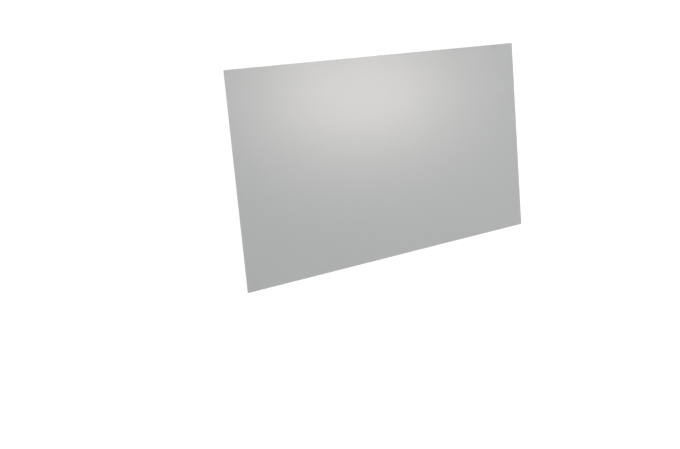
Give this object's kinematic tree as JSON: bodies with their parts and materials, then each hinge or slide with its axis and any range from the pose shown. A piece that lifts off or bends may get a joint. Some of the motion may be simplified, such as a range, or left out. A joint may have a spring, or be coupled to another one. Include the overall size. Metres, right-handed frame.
{
  "type": "anti-glare monitor filter",
  "caption": "Flat rectangular sheet of stiff, translucent grey film with a matte front face, fixed over a wide monitor screen to cut glare.",
  "frame": {"origin": "middle of the back face, which lies against the screen and is the face that the sheet rests on", "axes": "+X along the long edges, +Y up the short edges towards the top edge, +Z out of the matte front face"},
  "size_m": [0.531, 0.299, 0.0005],
  "materials": {
    "grey_film": "translucent neutral grey film, matte anti-glare front face, smoother back face"
  },
  "bodies": {
    "root": {"filter_sheet": "grey_film"}
  },
  "joints": []
}
